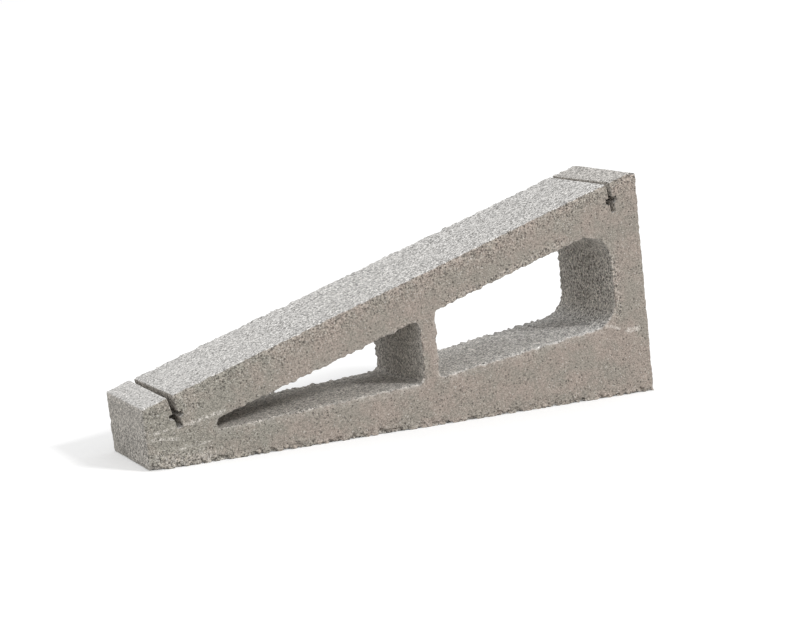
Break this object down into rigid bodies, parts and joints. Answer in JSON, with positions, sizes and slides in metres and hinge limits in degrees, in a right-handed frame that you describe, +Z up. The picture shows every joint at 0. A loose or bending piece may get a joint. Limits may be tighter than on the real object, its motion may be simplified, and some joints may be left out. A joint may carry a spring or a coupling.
{
  "type": "solar ballast block",
  "caption": "Wedge-shaped one-piece concrete ballast block that holds a solar module at a fixed tilt, with undercut clamp slots across its sloping seat.",
  "frame": {"origin": "middle of the foot's underside, under the centre of the bounding box", "axes": "+X from the low front end to the tall back end, Y across the block's width, +Z up"},
  "size_m": [1.0999, 0.29, 0.4617],
  "materials": {
    "concrete": "matt, dry-cast and open-grained"
  },
  "bodies": {
    "root": {"ballast_block": "concrete"}
  },
  "joints": []
}
